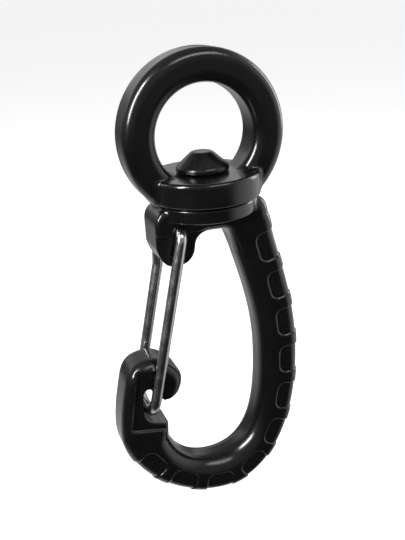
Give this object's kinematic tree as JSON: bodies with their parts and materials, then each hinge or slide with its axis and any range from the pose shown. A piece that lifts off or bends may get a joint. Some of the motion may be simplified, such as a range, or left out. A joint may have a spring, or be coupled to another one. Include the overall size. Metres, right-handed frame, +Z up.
{
  "type": "swivel-eye snap hook",
  "caption": "Black moulded snap hook with a turning round eye and a sprung steel wire gate.",
  "frame": {"origin": "centre of the eye's round hole, on the swivel axis", "axes": "+Z up along the swivel axis, from the hook to the eye; +Y along the eye's hole; the hook lies in the XZ plane with its spine on +X and its gate on -X"},
  "size_m": [0.051, 0.0284, 0.1206],
  "materials": {
    "eye_nylon": "moulded black nylon, satin to gloss",
    "stud_acetal": "moulded black acetal, satin",
    "hook_nylon": "moulded black nylon, satin to gloss",
    "gate_wire": "bright drawn stainless spring wire"
  },
  "bodies": {
    "eye": {"swivel_eye": "eye_nylon"},
    "hook": {"hook_body": "hook_nylon", "swivel_stud": "stud_acetal"},
    "gate": {"wire_gate": "gate_wire"}
  },
  "joints": [
    {"name": "eye_swivel", "type": "hinge", "parent": "eye", "child": "hook", "pos_m": [0, 0, -0.0157], "axis": [0, 0, 1], "continuous": true},
    {"name": "gate_hinge", "type": "hinge", "parent": "hook", "child": "gate", "pos_m": [-0.0086, 0, -0.0222], "axis": [0, -1, 0], "range_deg": [0, 30], "stiffness_Nm_per_rad": 0.8, "springref_deg": -9.74}
  ]
}
